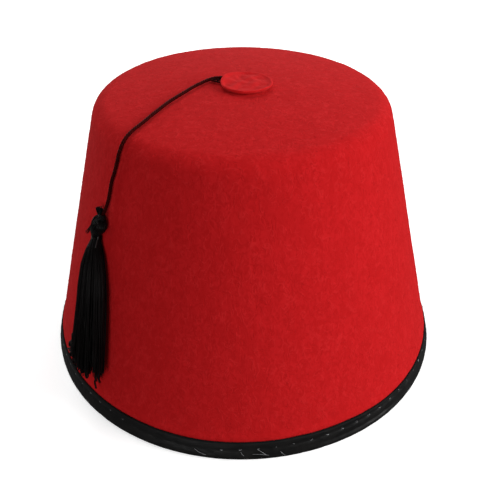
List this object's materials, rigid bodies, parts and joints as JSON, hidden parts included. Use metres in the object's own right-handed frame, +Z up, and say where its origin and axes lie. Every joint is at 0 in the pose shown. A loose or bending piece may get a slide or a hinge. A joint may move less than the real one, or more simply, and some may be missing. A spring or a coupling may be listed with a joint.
{
  "type": "fez hat",
  "caption": "Stiff felt cone hat, hollow and open below, with a low domed top, a taped rim, a top button and a cord that ends in a tassel on its side.",
  "frame": {"origin": "on the surface that the rim rests on, under the middle of the rim", "axes": "+Z up through the middle of the top; -Y is the front; the tassel hangs on the wall between -X and -Y"},
  "size_m": [0.1876, 0.1948, 0.1273],
  "materials": {
    "red_felt": "matt pressed wool felt with a short raised nap",
    "black_binding": "satin coated tape, folded over the edge and stitched through",
    "black_cord": "thin twisted cord with a soft shine",
    "black_yarn": "straight rayon strands with a silky shine",
    "clear_thread": "thin clear sewing thread that glints where it bends"
  },
  "bodies": {
    "root": {"crown": "red_felt", "rim_binding": "black_binding", "top_button": "red_felt", "cord": "black_cord", "tassel_knot": "black_cord", "tassel_head": "black_yarn", "tassel_neck": "black_yarn", "tassel_skirt": "black_yarn"}
  },
  "joints": []
}
